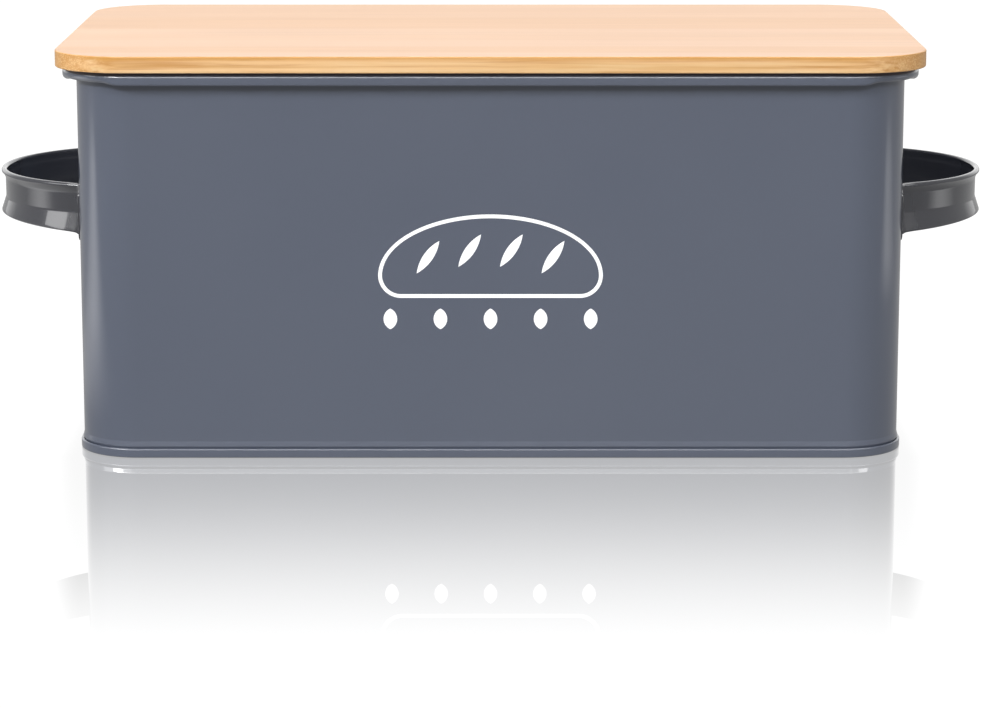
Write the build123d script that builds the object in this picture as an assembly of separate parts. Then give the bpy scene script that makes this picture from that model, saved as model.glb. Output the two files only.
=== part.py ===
from build123d import *
import math
import os

# Bread bin: a deep rectangular sheet-steel box with rounded vertical corners, a rolled rim,
# a crimped foot seam, two riveted strap handles and a loose bamboo board as its lid.
#
# Frame: millimetres, +Z up, origin on the floor under the middle of the bin.
# +X runs along the length from handle to handle, and -Y is the printed front.

# ---------------------------------------------------------------- driving dimensions

BODY_LENGTH = 330.0        # over the flat outer walls, along X
BODY_DEPTH = 184.0         # over the flat outer walls, along Y
BODY_CORNER = 24.0         # outer radius of the vertical corners
RIM_TOP = 155.2            # top of the rolled rim
SHEET = 0.6                # sheet steel of the wall and the base

CURL_REACH = 5.5           # how far the rolled rim stands out from the wall
CURL_HEIGHT = 5.2
CURL_BEND = 2.4            # outside radius of the roll's bends
CURL_GAP = 0.3             # between the roll's free edge and the wall
CURL_START_BEND = 1.2      # where the wall turns out into the roll

FOOT_FLARE = 0.6           # how far the wall spreads inside the foot seam
FLARE_TOP = 5.4            # the wall is upright above this
FLARE_BOTTOM = 2.6
FLARE_BEND = 2.0
SEAM_HEIGHT = 3.7          # the base's folded edge, up the outside of the wall
SEAM_GAP = 0.05            # between the folded sheets
SEAM_BEND = 0.35           # bends of the folded edge, at the middle of the sheet
PANEL_HEIGHT = 3.5         # underside of the base panel above the floor

LOCK_SEAM_WIDTH = 6.0      # upright fold that joins the wall's two ends, at the back
LOCK_SEAM_THICKNESS = 0.8
LOCK_SEAM_LOW = 7.0
LOCK_SEAM_HIGH = 148.0

WEB_REACH = 37.9           # middle of the strap's sheet at its tip, from the wall
WEB_RADIUS = 56.1          # plan radius of the middle of the strap's sheet
HANDLE_SHEET = 0.9
HANDLE_TOP = 105.1
HANDLE_CREASE = 93.0       # level of the fold above the flared lower lip
HANDLE_BEAD = 1.2          # radius of the rolled top edge
HANDLE_BEAD_OUT = 0.9      # the rolled edge's centre, out from the web
LIP_FLARE = 2.9            # how far out from the web the lip has spread by its end
LIP_TIP = 87.4             # lower edge of the lip at the middle of the strap
LIP_END = 84.3             # lower edge of the lip at the feet
LIP_HALF_SPAN = 57.0       # the lip's lower edge is a shallow half oval, this far to each side
FOOT_BEND = 4.0            # radius of the bend between the strap and its foot
FOOT_LENGTH = 11.5
FOOT_BOTTOM = 83.9
FOOT_TOP = 104.7
FOOT_CORNER = 3.0

RIVET_SPACING = 11.0       # the two rivets of a foot, one above the other
RIVET_HOLE = 1.55          # radius
RIVET_SHANK = 1.5          # radius
RIVET_HEAD = 2.6           # radius
RIVET_HEAD_HEIGHT = 0.9
RIVET_TAIL = 2.3           # radius
RIVET_TAIL_HEIGHT = 0.8

LID_LENGTH = 346.0
LID_DEPTH = 200.0
LID_CORNER = 29.0
LID_UNDERSIDE = 155.3      # clears the rim by a hair
LID_EDGE = 6.7             # thickness of the part that overhangs the rim
LID_EASE = 0.7             # softened top and bottom edges
PLUG_CLEARANCE = 2.0       # between the plug's side and the inside of the wall
PLUG_DEPTH = 3.8
SEAL_GROOVE = 1.5          # depth of the groove round the plug
SEAL_HEIGHT = 1.8
SEAL_WALL_GAP = 0.35       # between the seal's lip and the inside of the wall
SEAL_LIP = 0.5             # rounding of the seal's lip

PRINT_THICKNESS = 0.1
PRINT_STROKE = 1.5
LOAF_WIDTH = 89.0
LOAF_BASE = 65.0
LOAF_HEIGHT = 33.5
LOAF_FOOT_RADIUS = 9.0     # the rounded ends of the flat base
SLASH_COUNT = 4
SLASH_SPACING = 16.5
SLASH_LEAN = 9.0           # how far a slash's top is to the right of its foot
SLASH_RISE = 13.0
SLASH_BOW = 1.9            # how far each side of a slash bows out
SLASH_CENTRE = 84.0
SLASH_DROP = 2.6           # how much lower the outer slashes sit, under the dome
MARK_COUNT = 5
MARK_SPACING = 19.9
MARK_CENTRE = 56.5
MARK_WIDTH = 5.4
MARK_HEIGHT = 8.3

# ---------------------------------------------------------------- values they settle

WALL_X = BODY_LENGTH / 2
FRONT_Y = -BODY_DEPTH / 2
CAVITY_LENGTH = BODY_LENGTH - 2 * SHEET
CAVITY_DEPTH = BODY_DEPTH - 2 * SHEET
CAVITY_CORNER = BODY_CORNER - SHEET
PLUG_LENGTH = CAVITY_LENGTH - 2 * PLUG_CLEARANCE
PLUG_WIDTH = CAVITY_DEPTH - 2 * PLUG_CLEARANCE
PLUG_CORNER = CAVITY_CORNER - PLUG_CLEARANCE
PLUG_BOTTOM = LID_UNDERSIDE - PLUG_DEPTH
SEAL_BOTTOM = PLUG_BOTTOM + (PLUG_DEPTH - SEAL_HEIGHT) / 2

# The strap's plan is one arc, whose centre lies inside the bin's wall.
ARC_SETBACK = WEB_RADIUS - WEB_REACH
FOOT_X = HANDLE_SHEET / 2
BEND_X = FOOT_X + FOOT_BEND
BEND_Y = math.sqrt((WEB_RADIUS + FOOT_BEND)**2 - (ARC_SETBACK + BEND_X)**2)
# The arc and the bend meet on the line between their centres.
MEET_SHARE = WEB_RADIUS / (WEB_RADIUS + FOOT_BEND)
MEET_X = (ARC_SETBACK + BEND_X) * MEET_SHARE - ARC_SETBACK
MEET_Y = BEND_Y * MEET_SHARE
RIVET_Y = BEND_Y + FOOT_LENGTH / 2
RIVET_MIDDLE = (FOOT_BOTTOM + FOOT_TOP) / 2


# ---------------------------------------------------------------- helpers

def ring_path(length, depth, corner):
    """A rounded rectangle on the floor plane, to sweep a wall section round."""
    return RectangleRounded(length, depth, corner).face().outer_wire()


def section_plane(path):
    """The plane across a path's start: local X to the right of travel, local Y up."""
    up = Vector(0, 0, 1)
    right = (path % 0).cross(up)
    return Plane(origin=path @ 0, x_dir=right, z_dir=right.cross(up))


def sheet_section(middle_line, thickness):
    """A sheet's section, from the line that runs along the middle of its thickness."""
    strip = trace(middle_line, line_width=thickness)
    return make_face(strip.face().outer_wire().edges())


def rounded_block(length, depth, corner, low, high):
    """An upright rounded-rectangle block from one level to another."""
    return extrude(Pos(0, 0, low) * RectangleRounded(length, depth, corner), high - low)


def turned_along_x(radius, start_x, end_x, y, z):
    """A round bar along X between two places."""
    return extrude(Plane((start_x, y, z), z_dir=(1, 0, 0)) * Circle(radius), end_x - start_x)


# ---------------------------------------------------------------- steel body

def wall_line():
    """The middle of the wall's sheet, from its flared foot up and over the rolled rim."""
    half = SHEET / 2
    top = RIM_TOP - half
    bottom = RIM_TOP - CURL_HEIGHT + half
    side = CURL_REACH - half
    free_edge = SHEET + CURL_GAP
    points = [(FOOT_FLARE - half, SHEET + SEAM_GAP), (FOOT_FLARE - half, FLARE_BOTTOM), (-half, FLARE_TOP),
              (-half, top), (side, top), (side, bottom), (free_edge, bottom)]
    bends = [FLARE_BEND, FLARE_BEND, CURL_START_BEND, CURL_BEND - half, CURL_BEND - half]
    return FilletPolyline(*points, radius=bends)


def body_wall():
    """The wrapped wall with its rolled rim, flared foot, back lock seam and rivet holes."""
    path = ring_path(BODY_LENGTH, BODY_DEPTH, BODY_CORNER)
    wall = sweep(section_plane(path) * sheet_section(wall_line(), SHEET), path=path)
    seam_height = LOCK_SEAM_HIGH - LOCK_SEAM_LOW
    seam_y = BODY_DEPTH / 2 - SHEET / 2
    seam = Box(LOCK_SEAM_WIDTH, LOCK_SEAM_THICKNESS + SHEET / 2, seam_height,
               align=(Align.CENTER, Align.MIN, Align.MIN))
    wall += Pos(0, seam_y, LOCK_SEAM_LOW) * seam
    return wall - rivet_holes()


def base_panel():
    """The pressed base, whose edge drops to the floor and folds up round the wall's foot."""
    path = ring_path(BODY_LENGTH, BODY_DEPTH, BODY_CORNER)
    half = SHEET / 2
    outside = FOOT_FLARE + SEAM_GAP + half
    inside = -(SHEET + SEAM_GAP + half)
    panel_top = PANEL_HEIGHT + SHEET
    edge = FilletPolyline((inside, panel_top), (inside, half), (outside, half), (outside, SEAM_HEIGHT),
                          radius=SEAM_BEND)
    hem = sweep(section_plane(path) * sheet_section(edge, SHEET), path=path)
    panel = rounded_block(CAVITY_LENGTH - 2 * SEAM_GAP - SHEET, CAVITY_DEPTH - 2 * SEAM_GAP - SHEET,
                          CAVITY_CORNER - SEAM_GAP - SHEET / 2, PANEL_HEIGHT, panel_top)
    return panel + hem


# ---------------------------------------------------------------- strap handles

def plan(x, y):
    """A point of the right handle's plan, from the wall's face, at the crease's level."""
    return (WALL_X + x, y, HANDLE_CREASE)


def arch_path():
    """The strap's web, one arc from foot bend to foot bend."""
    tip = plan(WEB_RADIUS - ARC_SETBACK, 0)
    return Wire([ThreePointArc(plan(MEET_X, -MEET_Y), tip, plan(MEET_X, MEET_Y)).edge()])


def foot_path():
    """One foot, from its free end to where its bend meets the strap."""
    flat = Line(plan(FOOT_X, -BEND_Y - FOOT_LENGTH), plan(FOOT_X, -BEND_Y))
    bend = TangentArc(flat @ 1, plan(MEET_X, -MEET_Y), tangent=flat % 1)
    return Wire([flat.edge(), bend.edge()])


def strap_section():
    """The arch's section about the crease: rolled top edge, web and flared lower lip."""
    bead_level = HANDLE_TOP - HANDLE_BEAD - HANDLE_CREASE
    lip = Line((LIP_FLARE, LIP_END - HANDLE_CREASE), (0, 0))
    web = TangentArc((0, 0), (HANDLE_BEAD_OUT, bead_level), tangent=(0, 1))
    strip = sheet_section(Curve() + [lip, web], HANDLE_SHEET)
    return strip + Pos(HANDLE_BEAD_OUT, bead_level) * Circle(HANDLE_BEAD)


def foot_section():
    """The foot's plain section, which hangs lower than the lip."""
    middle = RIVET_MIDDLE - HANDLE_CREASE
    return Pos(0, middle) * Rectangle(HANDLE_SHEET, FOOT_TOP - FOOT_BOTTOM)


def lip_trim():
    """What is cut from under the lip, so that the strap is slimmest at its middle."""
    side = Plane((WALL_X, 0, LIP_END), x_dir=(0, 1, 0), z_dir=(1, 0, 0))
    oval = Ellipse(LIP_HALF_SPAN, LIP_TIP - LIP_END)
    return extrude(side * oval, WEB_REACH + LIP_FLARE + HANDLE_SHEET)


def handle_right():
    """The right strap handle, on the +X wall."""
    arch = arch_path()
    strap = sweep(section_plane(arch) * strap_section(), path=arch) - lip_trim()
    foot_line = foot_path()
    foot = sweep(section_plane(foot_line) * foot_section(), path=foot_line)
    end_edges = foot.edges().filter_by(Axis.X).group_by(Axis.Y)[0]
    foot = fillet(end_edges, FOOT_CORNER)
    return strap + foot + mirror(foot, about=Plane.XZ) - rivet_holes()


def rivet_places():
    """The side and the level of each rivet of one handle."""
    places = []
    for y in (-RIVET_Y, RIVET_Y):
        for z in (RIVET_MIDDLE - RIVET_SPACING / 2, RIVET_MIDDLE + RIVET_SPACING / 2):
            places.append((y, z))
    return places


def rivet_holes():
    """Bars that cut the rivet holes through both side walls and the handles' feet."""
    reach = SHEET * 3
    bars = []
    for y, z in rivet_places():
        bars.append(turned_along_x(RIVET_HOLE, WALL_X - reach, WALL_X + reach, y, z))
        bars.append(turned_along_x(RIVET_HOLE, -WALL_X - reach, -WALL_X + reach, y, z))
    return bars


def rivet_right(y, z):
    """A low round-headed rivet through the right foot and the wall, its tail set inside."""
    head_x = WALL_X + HANDLE_SHEET
    inner_x = WALL_X - SHEET
    head = turned_along_x(RIVET_HEAD, head_x, head_x + RIVET_HEAD_HEIGHT, y, z)
    outer_rim = head.edges().filter_by(GeomType.CIRCLE).sort_by(Axis.X)[-1]
    head = fillet(outer_rim, RIVET_HEAD_HEIGHT * 0.8)
    shank = turned_along_x(RIVET_SHANK, inner_x, head_x, y, z)
    tail = turned_along_x(RIVET_TAIL, inner_x - RIVET_TAIL_HEIGHT, inner_x, y, z)
    return head + shank + tail


# ---------------------------------------------------------------- lid

def lid_board():
    """The bamboo board, with a plug on its underside that drops inside the rim."""
    board = rounded_block(LID_LENGTH, LID_DEPTH, LID_CORNER, LID_UNDERSIDE, LID_UNDERSIDE + LID_EDGE)
    board = fillet(board.faces().sort_by(Axis.Z)[-1].edges(), LID_EASE)
    board = fillet(board.faces().sort_by(Axis.Z)[0].edges(), LID_EASE)
    plug = rounded_block(PLUG_LENGTH, PLUG_WIDTH, PLUG_CORNER, PLUG_BOTTOM, LID_UNDERSIDE + LID_EASE)
    plug = chamfer(plug.faces().sort_by(Axis.Z)[0].edges(), LID_EASE)
    return board + plug - seal_groove()


def seal_groove():
    """The groove round the plug, as tall as the seal."""
    top = SEAL_BOTTOM + SEAL_HEIGHT
    around = rounded_block(CAVITY_LENGTH, CAVITY_DEPTH, CAVITY_CORNER, SEAL_BOTTOM, top)
    core = rounded_block(PLUG_LENGTH - 2 * SEAL_GROOVE, PLUG_WIDTH - 2 * SEAL_GROOVE,
                         PLUG_CORNER - SEAL_GROOVE, SEAL_BOTTOM, top)
    return around - core


def lid_seal():
    """The silicone ring in the plug's groove, with a rounded lip that centres the lid."""
    top = SEAL_BOTTOM + SEAL_HEIGHT
    outer = rounded_block(CAVITY_LENGTH - 2 * SEAL_WALL_GAP, CAVITY_DEPTH - 2 * SEAL_WALL_GAP,
                          CAVITY_CORNER - SEAL_WALL_GAP, SEAL_BOTTOM, top)
    outer = fillet(outer.faces().sort_by(Axis.Z)[-1].edges(), SEAL_LIP)
    outer = fillet(outer.faces().sort_by(Axis.Z)[0].edges(), SEAL_LIP)
    core = rounded_block(PLUG_LENGTH - 2 * SEAL_GROOVE, PLUG_WIDTH - 2 * SEAL_GROOVE,
                         PLUG_CORNER - SEAL_GROOVE, SEAL_BOTTOM, top)
    return outer - core


# ---------------------------------------------------------------- front print

def loaf_outline(inset):
    """A plain loaf seen from the side: a flat base with rounded ends under a half-oval dome."""
    half = LOAF_WIDTH / 2 - inset
    low = LOAF_BASE + inset
    foot = LOAF_FOOT_RADIUS - inset
    dome = LOAF_HEIGHT - LOAF_FOOT_RADIUS - inset
    base = Line((-half + foot, low), (half - foot, low))
    right_foot = JernArc(base @ 1, (1, 0), foot, 90)
    top = EllipticalCenterArc((0, low + foot), half, dome, start_angle=0, arc_size=180)
    left_foot = JernArc((-half, low + foot), (0, -1), foot, 90)
    return make_face(Curve() + [base, right_foot, top, left_foot])


def leaf(low, high, bow):
    """A slender pointed shape between two points, each side bowed out by the same amount."""
    start, end = Vector(low), Vector(high)
    middle = (start + end) / 2
    along = (end - start).normalized()
    side = Vector(-along.Y, along.X) * bow
    left = ThreePointArc(start, middle + side, end)
    right = ThreePointArc(end, middle - side, start)
    return make_face(Curve() + [left, right])


def slash(number):
    """One leaning cut across the loaf's top, lower towards the ends."""
    step = number - (SLASH_COUNT - 1) / 2
    x = step * SLASH_SPACING
    centre = SLASH_CENTRE - SLASH_DROP * (abs(step) - 0.5)
    low = (x - SLASH_LEAN / 2, centre - SLASH_RISE / 2)
    high = (x + SLASH_LEAN / 2, centre + SLASH_RISE / 2)
    return leaf(low, high, SLASH_BOW)


def grain_mark(number):
    """One pointed grain."""
    x = (number - (MARK_COUNT - 1) / 2) * MARK_SPACING
    low = (x, MARK_CENTRE - MARK_HEIGHT / 2)
    high = (x, MARK_CENTRE + MARK_HEIGHT / 2)
    return leaf(low, high, MARK_WIDTH / 2)


def front_print():
    """The white print: a loaf's outline with slashes, over a row of small grain marks."""
    design = loaf_outline(0) - loaf_outline(PRINT_STROKE)
    for number in range(SLASH_COUNT):
        design += slash(number)
    for number in range(MARK_COUNT):
        design += grain_mark(number)
    front = Plane((0, FRONT_Y, 0), x_dir=(1, 0, 0), z_dir=(0, -1, 0))
    return extrude(front * design, PRINT_THICKNESS)


# ---------------------------------------------------------------- nodes

def all_nodes():
    """Every separate piece of the bin, by name."""
    right = handle_right()
    nodes = {
        "body_wall": body_wall(),
        "base_panel": base_panel(),
        "handle_right": right,
        "handle_left": mirror(right, about=Plane.YZ),
        "lid_board": lid_board(),
        "lid_seal": lid_seal(),
        "front_print": front_print(),
    }
    corners = ("front_lower", "front_upper", "rear_lower", "rear_upper")
    for corner, (y, z) in zip(corners, rivet_places()):
        rivet = rivet_right(y, z)
        nodes[f"rivet_right_{corner}"] = rivet
        nodes[f"rivet_left_{corner}"] = mirror(rivet, about=Plane.YZ)
    return nodes


os.makedirs("parts", exist_ok=True)
for name, solid in all_nodes().items():
    solid.label = name
    export_step(solid, f"parts/{name}.step")
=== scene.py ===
"""Bread bin: the looks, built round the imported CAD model.

Blender units are metres. Sections and outlines are worked out in millimetres and scaled once,
where their mesh is made. The bin stands on z = 0 with its printed front towards -Y.
"""
import math

import bmesh
import bpy
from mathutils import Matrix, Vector


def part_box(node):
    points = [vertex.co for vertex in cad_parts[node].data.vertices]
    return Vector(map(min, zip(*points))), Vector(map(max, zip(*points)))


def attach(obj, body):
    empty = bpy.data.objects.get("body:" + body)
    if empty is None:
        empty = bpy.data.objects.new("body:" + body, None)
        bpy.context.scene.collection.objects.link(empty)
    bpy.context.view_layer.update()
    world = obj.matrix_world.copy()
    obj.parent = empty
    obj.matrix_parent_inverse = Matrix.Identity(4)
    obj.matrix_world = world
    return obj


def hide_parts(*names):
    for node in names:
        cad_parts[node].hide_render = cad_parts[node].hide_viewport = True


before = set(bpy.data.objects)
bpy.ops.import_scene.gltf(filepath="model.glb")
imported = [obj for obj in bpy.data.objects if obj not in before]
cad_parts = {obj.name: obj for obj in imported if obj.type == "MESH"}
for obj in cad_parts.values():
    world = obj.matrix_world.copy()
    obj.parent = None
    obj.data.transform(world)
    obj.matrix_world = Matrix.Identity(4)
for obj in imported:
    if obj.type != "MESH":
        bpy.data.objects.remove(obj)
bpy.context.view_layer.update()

MM = 0.001

# ---------------------------------------------------------------- sizes, mm, from the frame


def box_mm(node):
    """A CAD node's lowest and highest corners in millimetres."""
    low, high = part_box(node)
    return Vector(low) / MM, Vector(high) / MM


RIM_HI = box_mm("body_wall")[1]
BASE_HI = box_mm("base_panel")[1]
HANDLE_LO, HANDLE_HI = box_mm("handle_right")
LID_LO, LID_HI = box_mm("lid_board")
SEAL_LO, SEAL_HI = box_mm("lid_seal")
PRINT_HI = box_mm("front_print")[1]

WALL_X = HANDLE_LO.x
WALL_Y = -PRINT_HI.y
WALL_CORNER = 24.0
SHEET = 0.6

CURL_REACH = RIM_HI.x - WALL_X
CURL_HEIGHT = 5.2
CURL_TOP_BEND = 2.4
CURL_LOW_BEND = 0.9         # along the straight sides, where the roll's lower edge is crisp
CURL_END_BEND = 2.1         # round the corners and the short sides, where it is softer
CURL_START_BEND = 1.2
CURL_FREE_EDGE = 0.9        # where the roll's hidden edge ends, out from the wall
CORNER_RISE = 0.9           # how much shallower the roll is round the corners
RISE_START = 10.0           # degrees into a corner where the roll starts to draw in
RISE_END = 25.0

FLARE_TOP = 6.6
FLARE_BOTTOM = 4.7
FLARE_TUCK = 3.7            # below this the wall is tucked in behind the foot's bead
FOOT_FLARE = 0.4
FOOT_BENDS = (0.2, 0.4, 2.4)    # where the wall tucks in, starts to spread and stands upright again
NO_BEND = 0.0               # marks a point that only keeps a straight run straight
FLARE_HOLD = 6.0            # such a point, above the flare
CURL_HOLD = 5.0             # and another, below the roll
SEAM_GAP = 0.05
SEAM_HEIGHT = 3.7
SEAM_BEAD = 0.62            # radius of the folded bead's top
PANEL_HEIGHT = BASE_HI.z - SHEET / 2
PANEL_BEAD_IN = 9.0         # the pressed step round the base panel, in from the wall
PANEL_BEAD_DROP = 1.0
PANEL_STEP_RUN = 2.0        # how far inwards the pressed step slopes
PANEL_HOLD = 6.0            # where the flat panel's first point is, in from the step
BASE_BENDS = (0.45, 0.8, 1.5, 1.5)    # the folded edge, the upstand, and both bends of the step

LOCK_SEAM_WIDTH = 6.0
LOCK_SEAM_THICKNESS = 0.8
LOCK_SEAM_LOW = 7.0
LOCK_SEAM_HIGH = 148.0
LOCK_SEAM_EASE = 0.6        # how far from its ends the seam starts to narrow
LOCK_SEAM_TIP = 0.7         # its size at the very ends, as a share

HANDLE_SHEET = 0.9
WEB_REACH = 37.9            # middle of the strap's sheet at its tip, from the wall
WEB_RADIUS = 56.1
HANDLE_CREASE = 93.0
HANDLE_CREASE_BEND = 3.0
HANDLE_BEAD = 1.2
HANDLE_BEAD_OUT = 0.9
LIP_SLOPE = 1 / 3           # how fast the lip spreads out below the crease
LIP_TIP = 87.4
LIP_END = 84.3
LIP_HALF_SPAN = 57.0
FOOT_BEND = 4.0
FOOT_TOP = 104.7
FOOT_CORNER = 3.0
FOOT_FADE = 5.0             # the strap's section flattens over this run before the foot

RIVET_SHANK = 1.5           # radius
RIVET_TAIL_LESS = 0.3       # how much smaller the tail's radius is than the head's
RIVET_BRIM = 0.12           # upright edge under the head's dome

LID_UNDERSIDE = 155.3
LID_CORNER = 29.0
LID_EASE = 0.5
PLUG_CLEARANCE = 2.0
SEAL_GROOVE = 1.5
SEAL_LIP_SHAPE = 0.6        # how far the seal's lip bulges, as a share of half its height
SHARP_DEGREES = 38.0        # edges sharper than this keep a crease

# ---------------------------------------------------------------- section and mesh helpers


def arc(centre_a, centre_b, radius, start, end, steps):
    """Points of an arc in a section, from one angle to another in degrees, both ends kept."""
    points = []
    for step in range(steps + 1):
        angle = math.radians(start + (end - start) * step / steps)
        points.append((centre_a + radius * math.cos(angle), centre_b + radius * math.sin(angle)))
    return points


def smooth_step(low, high, value):
    """0 below low, 1 above high, and a soft ramp between."""
    share = min(max((value - low) / (high - low), 0.0), 1.0)
    return share * share * (3 - 2 * share)


def rounded_line(points, radii, steps=6):
    """A polyline whose inner corners are replaced by arcs of the radii given."""
    result = [points[0]]
    for index, radius in enumerate(radii, start=1):
        before, corner, after = (Vector(points[index + shift]) for shift in (-1, 0, 1))
        arm_in = (before - corner).normalized()
        arm_out = (after - corner).normalized()
        half = arm_in.angle(arm_out) / 2
        middle = corner + (arm_in + arm_out).normalized() * (radius / math.sin(half))
        start = corner + arm_in * (radius / math.tan(half)) - middle
        end = corner + arm_out * (radius / math.tan(half)) - middle
        for step in range(steps + 1):
            share = step / steps
            spoke = (start * (1 - share) + end * share).normalized() * radius
            result.append(tuple(middle + spoke))
    result.append(points[-1])
    return result


def sheet_loop(line, half_thickness, cap_steps=4):
    """The closed outline of a bent sheet, from the line along its middle. The half thickness may be
    one number or one for each point of the line. Both edges are rounded."""
    count = len(line)
    halves = half_thickness if isinstance(half_thickness, list) else [half_thickness] * count
    points = [Vector(point) for point in line]
    left, right, tangents = [], [], []
    for index, point in enumerate(points):
        ahead = points[min(index + 1, count - 1)]
        behind = points[max(index - 1, 0)]
        tangent = (ahead - behind).normalized()
        normal = Vector((-tangent.y, tangent.x))
        tangents.append(tangent)
        left.append(point + normal * halves[index])
        right.append(point - normal * halves[index])
    loop = right[:]
    loop += edge_cap(points[-1], tangents[-1], halves[-1], cap_steps)
    loop += left[::-1]
    loop += edge_cap(points[0], -tangents[0], halves[0], cap_steps)
    return [(point.x, point.y) for point in loop]


def edge_cap(centre, outward, radius, steps):
    """The points of a half circle round a sheet's edge, without its two ends."""
    side = Vector((outward.y, -outward.x))
    points = []
    for step in range(1, steps):
        angle = math.pi * step / steps
        points.append(centre + side * (radius * math.cos(angle)) + outward * (radius * math.sin(angle)))
    return points


def perimeter(half_x, half_y, corner, arc_steps=26, edge_step=14.0):
    """Stations round a rounded rectangle, anticlockwise from above. Each is the point, its outward
    normal and how far it is into a corner, in degrees from the nearer straight side."""
    stations = []
    centres = ((half_x - corner, -half_y + corner, -90), (half_x - corner, half_y - corner, 0),
               (-half_x + corner, half_y - corner, 90), (-half_x + corner, -half_y + corner, 180))
    for index, (centre_x, centre_y, start) in enumerate(centres):
        for step in range(arc_steps + 1):
            turn = 90 * step / arc_steps
            angle = math.radians(start + turn)
            normal = Vector((math.cos(angle), math.sin(angle)))
            point = Vector((centre_x, centre_y)) + normal * corner
            stations.append((point, normal, min(turn, 90 - turn)))
        end_point, end_normal, _ = stations[-1]
        following = centres[(index + 1) % len(centres)]
        next_point = Vector(following[:2]) + end_normal * corner
        run = (next_point - end_point).length
        pieces = max(int(run / edge_step), 1)
        for piece in range(1, pieces):
            stations.append((end_point.lerp(next_point, piece / pieces), end_normal, 0.0))
    return stations


def new_object(name, mesh_source):
    """A scene object from a bmesh, smooth-shaded with creases kept sharp."""
    bmesh.ops.recalc_face_normals(mesh_source, faces=mesh_source.faces)
    mesh = bpy.data.meshes.new(name)
    mesh_source.to_mesh(mesh)
    mesh_source.free()
    mesh.shade_smooth()
    mesh.set_sharp_from_angle(angle=math.radians(SHARP_DEGREES))
    made = bpy.data.objects.new(name, mesh)
    bpy.context.scene.collection.objects.link(made)
    weighted = made.modifiers.new("even_shading", "WEIGHTED_NORMAL")
    weighted.keep_sharp = True
    return made


def loft(bm, rings, around=True, caps=False):
    """Quads between neighbouring rings of points in millimetres. around joins the last ring to the
    first; caps closes the first and the last ring with a face."""
    rows = [[bm.verts.new(Vector(point) * MM) for point in ring] for ring in rings]
    size = len(rows[0])
    count = len(rows) if around else len(rows) - 1
    for row in range(count):
        ring, following = rows[row], rows[(row + 1) % len(rows)]
        for index in range(size):
            beside = (index + 1) % size
            bm.faces.new((ring[index], following[index], following[beside], ring[beside]))
    if caps:
        bm.faces.new(rows[0])
        bm.faces.new(rows[-1][::-1])
    return rows


def ring_sweep(bm, stations, section_at):
    """Sweeps a closed section round the stations. section_at takes a station's turn and normal."""
    rings = []
    for point, normal, turn in stations:
        ring = []
        for out, level in section_at(turn, normal):
            ring.append((point.x + normal.x * out, point.y + normal.y * out, level))
        rings.append(ring)
    return loft(bm, rings)


def stacked(name, half_x, half_y, corner, profile):
    """A closed block of rounded-rectangle layers. The profile lists each layer's inset and level,
    from the top face's edge round to the bottom face's edge."""
    bm = bmesh.new()
    stations = perimeter(half_x, half_y, corner)
    rings = []
    for inset, level in profile:
        rings.append([(point.x - normal.x * inset, point.y - normal.y * inset, level)
                      for point, normal, _ in stations])
    loft(bm, rings, around=False, caps=True)
    return new_object(name, bm)


# ---------------------------------------------------------------- material helpers

STRIPS_PER_METRE = 46.0     # the board's glued strips, front to back
LAYERS_PER_METRE = 290.0    # tones up the board's edge

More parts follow.
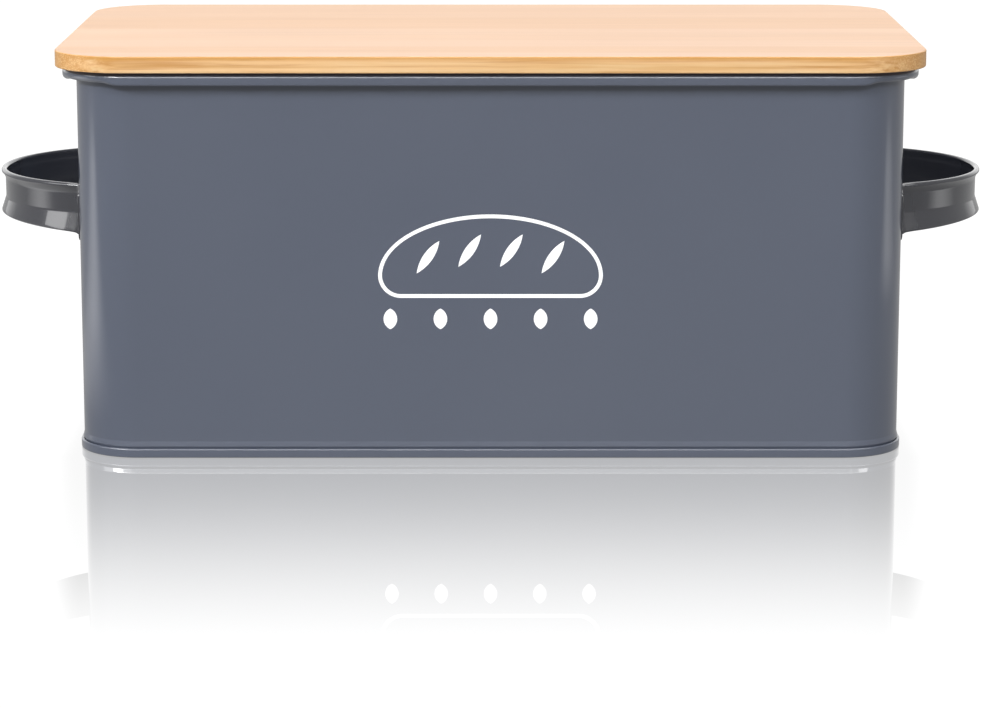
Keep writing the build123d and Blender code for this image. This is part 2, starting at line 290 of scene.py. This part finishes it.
class Shader:
    """A small wrapper for building one node material."""

    def __init__(self, name):
        self.material = bpy.data.materials.new(name)
        self.material.use_nodes = True
        self.tree = self.material.node_tree
        self.surface = self.tree.nodes["Principled BSDF"]

    def node(self, kind, **settings):
        made = self.tree.nodes.new(kind)
        for key, value in settings.items():
            setattr(made, key, value)
        return made

    def node_named(self, name):
        return self.tree.nodes[name]

    def link(self, source, target):
        self.tree.links.new(source, target)

    def place(self, scale=(1, 1, 1)):
        """Object coordinates in metres, stretched by the scale given."""
        coords = self.node("ShaderNodeTexCoord")
        mapping = self.node("ShaderNodeMapping")
        mapping.inputs["Scale"].default_value = scale
        self.link(coords.outputs["Object"], mapping.inputs["Vector"])
        return mapping.outputs["Vector"]

    def noise(self, scale, detail=3.0, roughness=0.5, stretch=(1, 1, 1), distortion=0.0):
        """Noise with that many features to the metre; stretch slows it down along an axis."""
        made = self.node("ShaderNodeTexNoise")
        made.inputs["Scale"].default_value = scale
        made.inputs["Detail"].default_value = detail
        made.inputs["Roughness"].default_value = roughness
        made.inputs["Distortion"].default_value = distortion
        self.link(self.place(stretch), made.inputs["Vector"])
        return made.outputs["Fac"]

    def ramp(self, value, stops, interpolation="LINEAR"):
        """A colour ramp from a list of (position, colour) stops."""
        made = self.node("ShaderNodeValToRGB")
        made.color_ramp.interpolation = interpolation
        elements = made.color_ramp.elements
        while len(elements) < len(stops):
            elements.new(0.5)
        for element, (position, colour) in zip(elements, stops):
            element.position = position
            element.color = (*colour, 1.0)
        self.link(value, made.inputs["Fac"])
        return made.outputs["Color"]

    def remap(self, value, low, high, to_low, to_high):
        made = self.node("ShaderNodeMapRange")
        made.inputs["From Min"].default_value = low
        made.inputs["From Max"].default_value = high
        made.inputs["To Min"].default_value = to_low
        made.inputs["To Max"].default_value = to_high
        self.link(value, made.inputs["Value"])
        return made.outputs["Result"]

    def math(self, operation, first, second=0.0):
        made = self.node("ShaderNodeMath", operation=operation)
        for socket, value in zip(made.inputs, (first, second)):
            if isinstance(value, (int, float)):
                socket.default_value = value
            else:
                self.link(value, socket)
        return made.outputs["Value"]

    def mix(self, factor, first, second):
        """A colour part of the way from the first to the second."""
        made = self.node("ShaderNodeMix", data_type="RGBA")
        colour_inputs = [socket for socket in made.inputs if socket.type == "RGBA"]
        sockets = (made.inputs["Factor"], colour_inputs[0], colour_inputs[1])
        for socket, value in zip(sockets, (factor, first, second)):
            if isinstance(value, (int, float)):
                socket.default_value = value
            elif isinstance(value, tuple):
                socket.default_value = (*value, 1.0)
            else:
                self.link(value, socket)
        return [socket for socket in made.outputs if socket.type == "RGBA"][0]

    def mix_value(self, factor, first, second):
        """A number part of the way from the first to the second."""
        kept = self.math("MULTIPLY", first, self.math("SUBTRACT", 1.0, factor))
        return self.math("ADD", kept, self.math("MULTIPLY", factor, second))

    def bump(self, height, depth_mm, under=None):
        """A bump whose full height is depth_mm, on top of another bump if one is given."""
        made = self.node("ShaderNodeBump")
        made.inputs["Distance"].default_value = depth_mm * MM
        self.link(height, made.inputs["Height"])
        if under is not None:
            self.link(under, made.inputs["Normal"])
        return made.outputs["Normal"]

    def set(self, **values):
        """Plain numbers set on the surface's own sockets."""
        for key, value in values.items():
            self.surface.inputs[key.replace("_", " ")].default_value = value

    def feed(self, **outputs):
        for key, output in outputs.items():
            self.link(output, self.surface.inputs[key.replace("_", " ")])


def paint(name, deep, light, gloss, coat):
    """Sprayed enamel on steel: faint cloudiness, orange peel and a clear glossy surface."""
    shader = Shader(name)
    cloud = shader.noise(7.0, detail=2.0)
    colour = shader.ramp(cloud, [(0.3, deep), (0.7, light)])
    peel = shader.noise(620.0, detail=1.0)
    sag = shader.noise(14.0, detail=1.0)
    haze = shader.noise(40.0, detail=3.0)
    shader.set(IOR=1.5, Coat_Weight=coat, Coat_Roughness=0.05, Coat_IOR=1.55)
    shader.feed(Base_Color=colour, Roughness=shader.remap(haze, 0.3, 0.7, gloss * 0.92, gloss * 1.1),
                Normal=shader.bump(peel, 0.008, under=shader.bump(sag, 0.05)))
    return shader.material


def bamboo(name):
    """Bamboo board: glued strips along X, long fibres, streaked edges and speckled end grain, and a paler,
    pinker top that is painted sheen.
    """
    shader = Shader(name)
    coords = shader.node("ShaderNodeTexCoord")
    split = shader.node("ShaderNodeSeparateXYZ")
    shader.link(coords.outputs["Object"], split.inputs["Vector"])
    strip_number = shader.math("FLOOR", shader.math("MULTIPLY", split.outputs["Y"], STRIPS_PER_METRE))
    layer_number = shader.math("FLOOR", shader.math("MULTIPLY", split.outputs["Z"], LAYERS_PER_METRE))
    key = shader.node("ShaderNodeCombineXYZ")
    shader.link(strip_number, key.inputs["X"])
    shader.link(layer_number, key.inputs["Y"])
    tone = shader.node("ShaderNodeTexWhiteNoise", noise_dimensions="2D")
    shader.link(key.outputs["Vector"], tone.inputs["Vector"])
    strip_tone = tone.outputs["Value"]

    fibre = shader.noise(420.0, detail=5.0, roughness=0.6, stretch=(0.018, 1.0, 1.0), distortion=0.25)
    broad = shader.noise(34.0, detail=3.0, stretch=(0.09, 1.0, 1.6))
    streak = shader.noise(150.0, detail=4.0, roughness=0.7, stretch=(0.03, 1.0, 1.0))

    normal = shader.node("ShaderNodeSeparateXYZ")
    shader.link(coords.outputs["Normal"], normal.inputs["Vector"])
    facing_up = shader.remap(shader.math("ABSOLUTE", normal.outputs["Z"]), 0.55, 0.95, 0.0, 1.0)

    # Faces turned up or down get a paler, pinker copy of the board's tones than the edges. This is painted
    # sheen from the light above, laid over the grain's own variation.
    top_tone_and_painted_sheen = shader.ramp(broad, [(0.32, (0.47, 0.30, 0.20)), (0.64, (0.53, 0.345, 0.24))])
    top_tone_and_painted_sheen = shader.mix(shader.remap(strip_tone, 0.0, 1.0, 0.0, 0.8), top_tone_and_painted_sheen, (0.46, 0.262, 0.140))
    band = shader.noise(520.0, detail=3.0, roughness=0.6, stretch=(0.022, 1.0, 1.0), distortion=0.3)
    side_tone = shader.ramp(broad, [(0.32, (0.56, 0.315, 0.110)), (0.64, (0.62, 0.375, 0.155))])
    side_tone = shader.mix(shader.remap(band, 0.50, 0.64, 0.0, 0.9), side_tone, (0.44, 0.205, 0.045))
    side_tone = shader.mix(shader.remap(band, 0.47, 0.36, 0.0, 0.7), side_tone, (0.66, 0.47, 0.25))
    below_top = shader.math("SUBTRACT", LID_HI.z * MM, split.outputs["Z"])
    edge_line = shader.remap(below_top, 2.2 * MM, 1.2 * MM, 0.0, 0.85)
    side_tone = shader.mix(edge_line, side_tone, (0.50, 0.23, 0.030))
    # Painted sheen: the up-facing faces take the paler top tone.
    base = shader.mix(facing_up, side_tone, top_tone_and_painted_sheen)
    fibres = shader.ramp(fibre, [(0.40, (0.38, 0.21, 0.09)), (0.56, (0.60, 0.42, 0.27))])
    base = shader.mix(0.28, base, fibres)

    endness = shader.remap(shader.math("ABSOLUTE", normal.outputs["X"]), 0.35, 0.8, 0.0, 1.0)
    dots = shader.node("ShaderNodeTexVoronoi", feature="F1")
    dots.inputs["Scale"].default_value = 1900.0
    shader.link(shader.place((0.3, 1.0, 1.0)), dots.inputs["Vector"])
    speck = shader.ramp(dots.outputs["Distance"], [(0.25, (0.70, 0.46, 0.22)), (0.50, (0.48, 0.23, 0.06))])
    base = shader.mix(shader.math("MULTIPLY", endness, 0.8), base, speck)

    gloss = shader.remap(fibre, 0.3, 0.7, 0.34, 0.46)
    height = shader.math("ADD", fibre, shader.math("MULTIPLY", streak, 0.6))
    shader.set(IOR=1.46)
    shader.feed(Base_Color=base, Roughness=gloss, Normal=shader.bump(height, 0.05))
    return shader.material


def silicone(name):
    """Milky silicone: soft, slightly translucent, with a fine moulded haze."""
    shader = Shader(name)
    mottle = shader.noise(60.0, detail=3.0)
    colour = shader.ramp(mottle, [(0.3, (0.66, 0.66, 0.64)), (0.7, (0.74, 0.74, 0.72))])
    grain = shader.noise(900.0, detail=2.0)
    shader.set(IOR=1.41, Subsurface_Weight=0.25, Subsurface_Scale=0.002)
    shader.feed(Base_Color=colour, Roughness=shader.remap(grain, 0.3, 0.7, 0.42, 0.55),
                Normal=shader.bump(grain, 0.01))
    return shader.material


def ink(name):
    """White screen-printed ink: dense, a little uneven, with a faint mesh texture."""
    shader = Shader(name)
    mottle = shader.noise(120.0, detail=4.0)
    colour = shader.ramp(mottle, [(0.3, (0.88, 0.89, 0.90)), (0.7, (0.96, 0.96, 0.96))])
    mesh = shader.noise(1500.0, detail=1.0)
    shader.set(IOR=1.5)
    shader.feed(Base_Color=colour, Roughness=shader.remap(mottle, 0.3, 0.7, 0.32, 0.45),
                Normal=shader.bump(mesh, 0.01))
    return shader.material


def dress(piece, material, slot_name, body, *nodes):
    """Gives a piece its material and its body, and hides the CAD nodes that it stands for. slot_name is not
    used.
    """
    piece.data.materials.clear()
    piece.data.materials.append(material)
    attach(piece, body)
    if nodes:
        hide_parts(*nodes)


# ---------------------------------------------------------------- steel body

def wall_section(turn, normal):
    """The wall's sheet from its flared foot up over the rolled rim, at a place round the bin."""
    rise = CORNER_RISE * smooth_step(RISE_START, RISE_END, turn)
    from_front = math.degrees(math.acos(min(abs(normal.y), 1.0)))
    end_share = smooth_step(RISE_START, RISE_END, from_front)
    low_outside_bend = CURL_LOW_BEND + (CURL_END_BEND - CURL_LOW_BEND) * end_share
    half = SHEET / 2
    top = RIM_HI.z - half
    bottom = RIM_HI.z - CURL_HEIGHT + rise + half
    side = CURL_REACH - half
    room = (top - bottom) / (CURL_TOP_BEND + low_outside_bend - SHEET)
    squeeze = min(room * 0.98, 1.0)    # both bends shrink a little where the roll is too shallow for them
    high_bend = (CURL_TOP_BEND - half) * squeeze
    low_bend = (low_outside_bend - half) * squeeze
    points = [(-half, SHEET + SEAM_GAP), (-half, FLARE_TUCK), (FOOT_FLARE - half, FLARE_BOTTOM),
              (-half, FLARE_TOP), (-half, FLARE_TOP + FLARE_HOLD), (-half, bottom - CURL_HOLD),
              (-half, top), (side, top), (side, bottom), (CURL_FREE_EDGE, bottom)]
    bends = [*FOOT_BENDS, NO_BEND, NO_BEND, CURL_START_BEND, high_bend, low_bend]
    return sheet_loop(plain_runs(points, bends), half)


def plain_runs(points, bends):
    """rounded_line, but a point with no bend stays a single point on its run."""
    line = [points[0]]
    for index, bend in enumerate(bends, start=1):
        if bend == NO_BEND:
            line.append(points[index])
            continue
        trio = [points[index - 1], points[index], points[index + 1]]
        line += rounded_line(trio, [bend], steps=7)[1:-1]
    line.append(points[-1])
    return line


def make_wall():
    """The wrapped wall with its flared foot and rolled rim; the lock seam at its back is made on its own.
    """
    bm = bmesh.new()
    ring_sweep(bm, perimeter(WALL_X, WALL_Y, WALL_CORNER), wall_section)
    return new_object("wall", bm)


def make_lock_seam():
    """The flat folded seam up the middle of the back, with rounded long edges."""
    half = LOCK_SEAM_WIDTH / 2
    outline = sheet_loop([(-half + LOCK_SEAM_THICKNESS / 2, 0.0), (0.0, 0.0),
                          (half - LOCK_SEAM_THICKNESS / 2, 0.0)], LOCK_SEAM_THICKNESS / 2)
    levels = [(LOCK_SEAM_LOW, LOCK_SEAM_TIP), (LOCK_SEAM_LOW + LOCK_SEAM_EASE, 1.0),
              (LOCK_SEAM_HIGH - LOCK_SEAM_EASE, 1.0), (LOCK_SEAM_HIGH, LOCK_SEAM_TIP)]
    rings = []
    for level, share in levels:
        rings.append([(x * share, WALL_Y + LOCK_SEAM_THICKNESS / 2 + y, level) for x, y in outline])
    bm = bmesh.new()
    loft(bm, rings, around=False, caps=True)
    return new_object("lock_seam", bm)


def make_base():
    """The base panel: a pressed floor inside, and an edge folded up into a bead round the foot."""
    half = SHEET / 2
    bead_middle = BASE_HI.x - WALL_X - SEAM_BEAD
    inside = -(SHEET + SEAM_GAP + half)
    panel = PANEL_HEIGHT
    step = -PANEL_BEAD_IN
    points = [(bead_middle, half), (inside, half), (inside, panel), (step, panel),
              (step - PANEL_STEP_RUN, panel - PANEL_BEAD_DROP),
              (step - PANEL_HOLD, panel - PANEL_BEAD_DROP)]
    line = plain_runs(points, BASE_BENDS)
    profile = sheet_side(line, half)[::-1] + edge_pairs(line, half) + sheet_side(line, -half)
    stations = perimeter(WALL_X, WALL_Y, WALL_CORNER)
    bead = sheet_loop([(bead_middle, SEAM_BEAD), (bead_middle, SEAM_HEIGHT - SEAM_BEAD)], SEAM_BEAD, 8)
    bm = bmesh.new()
    rings = []
    for out, level in profile:
        rings.append([(point.x + normal.x * out, point.y + normal.y * out, level)
                      for point, normal, _ in stations])
    loft(bm, rings, around=False, caps=True)
    ring_sweep(bm, stations, lambda turn, normal: bead)
    return new_object("base", bm)


def sheet_side(line, shift):
    """A sheet's middle line moved to one side of it."""
    points = [Vector(point) for point in line]
    moved = []
    for index, point in enumerate(points):
        tangent = (points[min(index + 1, len(points) - 1)] - points[max(index - 1, 0)]).normalized()
        moved.append((point.x - tangent.y * shift, point.y + tangent.x * shift))
    return moved


def edge_pairs(line, half):
    """The rounded edge at the start of a sheet's line."""
    first, second = Vector(line[0]), Vector(line[1])
    outward = (first - second).normalized()
    return [tuple(point) for point in edge_cap(first, outward, half, 6)]


# ---------------------------------------------------------------- handles and rivets

def handle_plan():
    """The strap's middle line in plan, from the wall's face, for y from 0 to the foot's end. Each
    station is the point, the outward normal, the share of foot shape and the end's rounding."""
    setback = WEB_RADIUS - WEB_REACH
    foot_x = HANDLE_SHEET / 2
    bend_x = foot_x + FOOT_BEND
    bend_y = math.sqrt((WEB_RADIUS + FOOT_BEND)**2 - (setback + bend_x)**2)
    leave = math.degrees(math.atan2(bend_y, setback + bend_x))
    stations = []
    for x, y in arc(-setback, 0, WEB_RADIUS, 0, leave, 40):
        stations.append(((x, y), Vector((x + setback, y)).normalized()))
    for x, y in arc(bend_x, bend_y, FOOT_BEND, leave + 180, 180, 10)[1:]:
        stations.append(((x, y), Vector((bend_x - x, bend_y - y)).normalized()))
    end_y = HANDLE_HI.y
    for share in (0.15, 0.3, 0.5, 0.7, 0.8, 0.88, 0.94, 0.98, 1.0):
        stations.append(((foot_x, bend_y + (end_y - bend_y) * share), Vector((1, 0))))
    marked = []
    for (x, y), normal in stations:
        share = smooth_step(bend_y - FOOT_FADE, bend_y + 1.0, y)
        trim = max(y - (end_y - FOOT_CORNER), 0.0)
        cut = FOOT_CORNER - math.sqrt(max(FOOT_CORNER**2 - trim**2, 0.0))
        marked.append((Vector((x, y)), normal, share, cut))
    return marked


def strap_section(y, share, cut):
    """The strap's section: out from its middle line, and level. share 1 is the flat foot."""
    bead_level = HANDLE_HI.z - HANDLE_BEAD
    lip = ((HANDLE_CREASE - LIP_TIP) * LIP_SLOPE, LIP_TIP)
    points = [lip, (0.0, HANDLE_CREASE), (0.05, bead_level - 3.0), (HANDLE_BEAD_OUT, bead_level)]
    line = rounded_line(points, [HANDLE_CREASE_BEND, 4.0], steps=7)
    dense = []
    for first, second in zip(line, line[1:]):
        pieces = max(int(math.dist(first, second) / 0.9), 1)
        for piece in range(pieces):
            dense.append(tuple(Vector(first).lerp(Vector(second), piece / pieces)))
    dense.append(line[-1])
    oval = math.sqrt(max(1 - (y / LIP_HALF_SPAN)**2, 0.0))
    lip_low = LIP_END + (LIP_TIP - LIP_END) * oval
    low = lip_low + (HANDLE_LO.z - lip_low) * share + cut
    high = HANDLE_HI.z + (FOOT_TOP - HANDLE_HI.z) * share - cut
    drop = (HANDLE_CREASE - low) / (HANDLE_CREASE - LIP_TIP)
    lift = (high - HANDLE_CREASE) / (HANDLE_HI.z - HANDLE_CREASE)
    middles, halves = [], []
    for out, level in dense:
        stretch = drop if level < HANDLE_CREASE else lift
        spread = stretch if level < HANDLE_CREASE else 1.0
        middles.append((out * spread * (1 - share), HANDLE_CREASE + (level - HANDLE_CREASE) * stretch))
        swell = smooth_step(bead_level - 1.6, bead_level - 0.1, level) * (1 - share)
        halves.append(HANDLE_SHEET / 2 + (HANDLE_BEAD - HANDLE_SHEET / 2) * swell)
    return sheet_loop(middles, halves, cap_steps=6)


def make_handle(name, side):
    """A strap handle on the +X or the -X wall, bent from one strip with a foot at each end."""
    half = handle_plan()
    whole = [(Vector((p.x, -p.y)), Vector((n.x, -n.y)), share, cut) for p, n, share, cut in half[:0:-1]]
    whole += half
    rings = []
    for point, normal, share, cut in whole:
        ring = []
        for out, level in strap_section(point.y, share, cut):
            x = WALL_X + point.x + normal.x * out
            ring.append((side * x, point.y + normal.y * out, level))
        rings.append(ring)
    bm = bmesh.new()
    loft(bm, rings, around=False, caps=True)
    return new_object(name, bm)


def make_rivet(node):
    """A low domed rivet in a CAD rivet's place: tail inside, shank through, head outside."""
    low, high = box_mm(node)
    side = 1 if high.x > 0 else -1
    centre_y, centre_z = (low.y + high.y) / 2, (low.z + high.z) / 2
    head = (high.z - low.z) / 2
    tail = head - RIVET_TAIL_LESS
    inner, outer = (low.x, high.x) if side > 0 else (-high.x, -low.x)
    seat = WALL_X + HANDLE_SHEET
    tail_seat = WALL_X - SHEET
    dome = outer - seat
    profile = [(inner, tail * 0.55), (inner + 0.12, tail * 0.85), (inner + 0.4, tail), (tail_seat, tail),
               (tail_seat, RIVET_SHANK), (seat, RIVET_SHANK), (seat, head), (seat + RIVET_BRIM, head)]
    for degrees in (12, 25, 40, 55, 70, 82):
        angle = math.radians(degrees)
        rise = (dome - RIVET_BRIM) * math.sin(angle)
        profile.append((seat + RIVET_BRIM + rise, head * math.cos(angle)))
    rings = []
    for x, radius in profile:
        rings.append([(side * x, centre_y + y, centre_z + z) for y, z in arc(0, 0, radius, 0, 345, 23)])
    bm = bmesh.new()
    loft(bm, rings, around=False, caps=True)
    return new_object(node + "_dome", bm)


# ---------------------------------------------------------------- lid

def make_lid():
    """The board and its plug, as one block of layers with eased edges and a groove for the seal."""
    top, low = LID_HI.z, LID_UNDERSIDE
    plug_in = (LID_HI.x - (WALL_X - SHEET)) + PLUG_CLEARANCE
    quarter = [math.radians(degrees) for degrees in range(0, 91, 15)]
    profile = [(LID_EASE * 4, top)]
    profile += [(LID_EASE * (1 - math.cos(a)), top - LID_EASE * (1 - math.sin(a))) for a in quarter[::-1]]
    profile += [(LID_EASE * (1 - math.cos(a)), low + LID_EASE * (1 - math.sin(a))) for a in quarter]
    profile += [(plug_in - 0.4, low), (plug_in, low - 0.3), (plug_in, SEAL_HI.z)]
    groove_in = plug_in + SEAL_GROOVE
    profile += [(groove_in, SEAL_HI.z), (groove_in, SEAL_LO.z), (plug_in, SEAL_LO.z)]
    profile += [(plug_in, LID_LO.z + 0.6), (plug_in + 0.2, LID_LO.z + 0.2)]
    profile += [(plug_in + 0.7, LID_LO.z)]
    return stacked("lid", LID_HI.x, LID_HI.y, LID_CORNER, profile)


def make_seal():
    """The silicone ring in the plug's groove, with a round lip."""
    centre = (SEAL_LO.z + SEAL_HI.z) / 2
    half = (SEAL_HI.z - SEAL_LO.z) / 2
    inner = WALL_X - SHEET - PLUG_CLEARANCE - SEAL_GROOVE
    reach = SEAL_HI.x - inner
    bulge = half * SEAL_LIP_SHAPE
    lip = [(reach - bulge + x * bulge, centre + z * half) for x, z in arc(0, 0, 1.0, -90, 90, 8)]
    section = [(0.0, centre - half)] + lip + [(0.0, centre + half)]
    corner = WALL_CORNER - SHEET - PLUG_CLEARANCE - SEAL_GROOVE
    stations = perimeter(inner, inner - (WALL_X - WALL_Y), corner)
    bm = bmesh.new()
    ring_sweep(bm, stations, lambda turn, normal: section)
    return new_object("seal_ring", bm)


# ---------------------------------------------------------------- pieces

body_paint = paint("body_enamel", (0.064, 0.075, 0.106), (0.069, 0.080, 0.111), 0.30, 1.0)
handle_paint = paint("handle_enamel", (0.028, 0.029, 0.035), (0.032, 0.033, 0.040), 0.20, 1.0)
board_material = bamboo("bamboo_board")
seal_material = silicone("seal_silicone")
print_material = ink("print_ink")

dress(make_wall(), body_paint, "steel_paint", "bin", "body_wall")
dress(make_lock_seam(), body_paint, "steel_paint", "bin")
dress(make_base(), body_paint, "steel_paint", "bin", "base_panel")
for handle_name, side in (("right", 1), ("left", -1)):
    strap = make_handle("strap_" + handle_name, side)
    dress(strap, handle_paint, "handle_paint", "bin", "handle_" + handle_name)
for node_name in [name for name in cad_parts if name.startswith("rivet_")]:
    dress(make_rivet(node_name), handle_paint, "handle_paint", "bin", node_name)
dress(make_lid(), board_material, "bamboo", "lid", "lid_board")
dress(make_seal(), seal_material, "silicone", "lid", "lid_seal")

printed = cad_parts["front_print"]
for print_slot in printed.material_slots:
    print_slot.material = print_material

# ---------------------------------------------------------------- floor, light and camera

FLOOR_HALF = 9.0
FLOOR_GLOW = 0.40           # the floor's brightness for everything but the camera
LEFT_GLOW = 1.3             # how much brighter it is beside the bin's left end, again not to the camera
LEFT_SPAN = (-0.22, -0.46)  # metres along X over which it rises
RIGHT_GLOW = 1.0
RIGHT_SPAN = (0.48, 0.62)
GLOW_BACK = (-0.03, 0.15)   # metres along Y over which both fade behind
GLOW_FRONT = (-0.20, -0.09)    # and rise from in front
GLOW_END = (0.95, 1.25)     # metres out along X over which both fade away
MIRROR_NEAR = 0.62          # share of mirror in the floor, right beside the bin
MIRROR_REACH = 0.33         # metres ahead of the wall where the mirror has faded away
MIRROR_TAPER = 0.12         # how much each side of the mirror narrows per metre ahead of the wall
MIRROR_EDGE = 20.0          # how many times faster the mirror fades sideways than ahead
MIRROR_UNSEEN = 0.12        # how much of the mirror is there for anything but the camera
SEEN_WHITE = 1.08           # how bright the room and the floor look to the camera
ROOM_GLOW = 0.42            # the room's brightness, except as seen directly or in the floor
REAR_WALL = (0.55, 0.85)    # share of a direction along +Y over which the room turns white

AIM = (0.0, 0.0, 0.08)      # what every lamp faces, in metres
LAMPS = (                   # name, place in metres, width and height in metres, watts
    ("overhead", (0.0, 0.15, 1.9), 2.2, 1.0, 30.0),
    ("front_high", (0.0, -2.5, 2.4), 3.0, 0.7, 36.0),
    ("front_low", (0.0, -2.2, 1.2), 2.4, 0.20, 23.0),
    ("front_left", (-1.4, -1.4, 1.15), 1.2, 0.20, 30.0),
    ("front_right", (1.4, -1.4, 1.15), 1.2, 0.20, 8.0),
    ("left_end", (-1.38, -0.43, 0.68), 0.5, 0.45, 2.4),
)


def make_floor():
    """A white studio floor, part mirror beside the bin. It looks plain white to the camera wherever it
    isn't mirroring, and lights the bin at a lower level."""
    mesh = bpy.data.meshes.new("floor")
    corners = [(-FLOOR_HALF, -FLOOR_HALF, 0), (FLOOR_HALF, -FLOOR_HALF, 0), (FLOOR_HALF, FLOOR_HALF, 0),
               (-FLOOR_HALF, FLOOR_HALF, 0)]
    mesh.from_pydata(corners, [], [(0, 1, 2, 3)])
    floor = bpy.data.objects.new("floor", mesh)
    bpy.context.scene.collection.objects.link(floor)
    shader = Shader("floor_gloss")
    rays = shader.node("ShaderNodeLightPath")
    coords = shader.node("ShaderNodeTexCoord")
    split = shader.node("ShaderNodeSeparateXYZ")
    shader.link(coords.outputs["Object"], split.inputs["Vector"])
    aside = shader.math("ABSOLUTE", split.outputs["X"])
    along = shader.math("ABSOLUTE", split.outputs["Y"])
    ahead_of_wall = shader.math("MAXIMUM", shader.math("SUBTRACT", along, WALL_Y * MM), 0.0)
    narrowed = shader.math("ADD", aside, shader.math("MULTIPLY", ahead_of_wall, MIRROR_TAPER))
    beside_wall = shader.math("MAXIMUM", shader.math("SUBTRACT", narrowed, WALL_X * MM), 0.0)
    offset = shader.node("ShaderNodeCombineXYZ")
    shader.link(shader.math("MULTIPLY", beside_wall, MIRROR_EDGE), offset.inputs["X"])
    shader.link(ahead_of_wall, offset.inputs["Y"])
    away = shader.node("ShaderNodeVectorMath", operation="LENGTH")
    shader.link(offset.outputs["Vector"], away.inputs[0])
    strength = shader.ramp(shader.remap(away.outputs["Value"], 0.0, MIRROR_REACH, 0.0, 1.0),
                           [(0.0, (MIRROR_NEAR,) * 3), (1.0, (0.0,) * 3)], "EASE")
    share_seen = shader.mix_value(rays.outputs["Is Camera Ray"], MIRROR_UNSEEN, 1.0)
    strength = shader.math("MULTIPLY", strength, share_seen)
    left = shader.remap(split.outputs["X"], *LEFT_SPAN, 0.0, LEFT_GLOW)
    right = shader.remap(split.outputs["X"], *RIGHT_SPAN, 0.0, RIGHT_GLOW)
    behind = shader.remap(split.outputs["Y"], *GLOW_BACK, 1.0, 0.0)
    ahead = shader.remap(split.outputs["Y"], *GLOW_FRONT, 0.0, 1.0)
    near = shader.remap(aside, *GLOW_END, 1.0, 0.0)
    beside = shader.math("MULTIPLY", near, shader.math("MULTIPLY", behind, ahead))
    glow = shader.math("MULTIPLY", shader.math("ADD", left, right), beside)
    seen = shader.mix_value(rays.outputs["Is Camera Ray"], shader.math("ADD", glow, FLOOR_GLOW), SEEN_WHITE)
    white = shader.node("ShaderNodeEmission")
    shader.link(seen, white.inputs["Strength"])
    mirror = shader.node("ShaderNodeBsdfGlossy")
    mirror.inputs["Roughness"].default_value = 0.0
    blend = shader.node("ShaderNodeMixShader")
    shader.link(strength, blend.inputs["Fac"])
    shader.link(white.outputs["Emission"], blend.inputs[1])
    shader.link(mirror.outputs["BSDF"], blend.inputs[2])
    shader.link(blend.outputs["Shader"], shader.node_named("Material Output").inputs["Surface"])
    mesh.materials.append(shader.material)


def add_softbox(name, place, width, height, power):
    """A soft rectangular lamp that faces the bin and isn't seen by the camera, in metres and watts."""
    data = bpy.data.lights.new(name, "AREA")
    data.shape = "RECTANGLE"
    data.size = width
    data.size_y = height
    data.energy = power
    lamp = bpy.data.objects.new(name, data)
    lamp.location = place
    lamp.visible_camera = False
    direction = Vector(AIM) - Vector(place)
    lamp.rotation_euler = direction.to_track_quat("-Z", "Y").to_euler()
    bpy.context.scene.collection.objects.link(lamp)


def make_light():
    """Plain studio light: an even room with a white rear wall, and softboxes overhead and in front."""
    world = bpy.data.worlds.new("studio")
    world.use_nodes = True
    tree = world.node_tree
    rays = tree.nodes.new("ShaderNodeLightPath")
    level = tree.nodes.new("ShaderNodeMapRange")
    level.inputs["To Min"].default_value = ROOM_GLOW
    level.inputs["To Max"].default_value = SEEN_WHITE
    plain = tree.nodes.new("ShaderNodeMath")
    plain.operation = "MAXIMUM"
    tree.links.new(rays.outputs["Is Camera Ray"], plain.inputs[0])
    tree.links.new(rays.outputs["Is Singular Ray"], plain.inputs[1])
    direction = tree.nodes.new("ShaderNodeTexCoord")
    split = tree.nodes.new("ShaderNodeSeparateXYZ")
    tree.links.new(direction.outputs["Generated"], split.inputs["Vector"])
    rear_wall = tree.nodes.new("ShaderNodeMapRange")
    rear_wall.inputs["From Min"].default_value = REAR_WALL[0]
    rear_wall.inputs["From Max"].default_value = REAR_WALL[1]
    tree.links.new(split.outputs["Y"], rear_wall.inputs["Value"])
    bright = tree.nodes.new("ShaderNodeMath")
    bright.operation = "MAXIMUM"
    tree.links.new(plain.outputs["Value"], bright.inputs[0])
    tree.links.new(rear_wall.outputs["Result"], bright.inputs[1])
    tree.links.new(bright.outputs["Value"], level.inputs["Value"])
    background = tree.nodes["Background"]
    background.inputs["Color"].default_value = (1.0, 1.0, 1.0, 1.0)
    tree.links.new(level.outputs["Result"], background.inputs["Strength"])
    bpy.context.scene.world = world
    for lamp in LAMPS:
        add_softbox(*lamp)


CAMERA_BACK = 1.362         # from the front wall
CAMERA_HEIGHT = 0.3196
CAMERA_TILT = 11.51         # degrees below level
CAMERA_LENS = 128.1


def make_camera():
    """A long lens at the bin's front, a little above it and tilted down."""
    data = bpy.data.cameras.new("camera")
    data.lens = CAMERA_LENS
    data.sensor_width = 36.0
    data.clip_end = 60.0
    camera = bpy.data.objects.new("camera", data)
    camera.location = (0.0, -WALL_Y * MM - CAMERA_BACK, CAMERA_HEIGHT)
    camera.rotation_euler = (math.radians(90 - CAMERA_TILT), 0.0, 0.0)
    bpy.context.scene.collection.objects.link(camera)
    bpy.context.scene.camera = camera


make_floor()
make_light()
make_camera()
bpy.context.scene.view_settings.view_transform = "Standard"
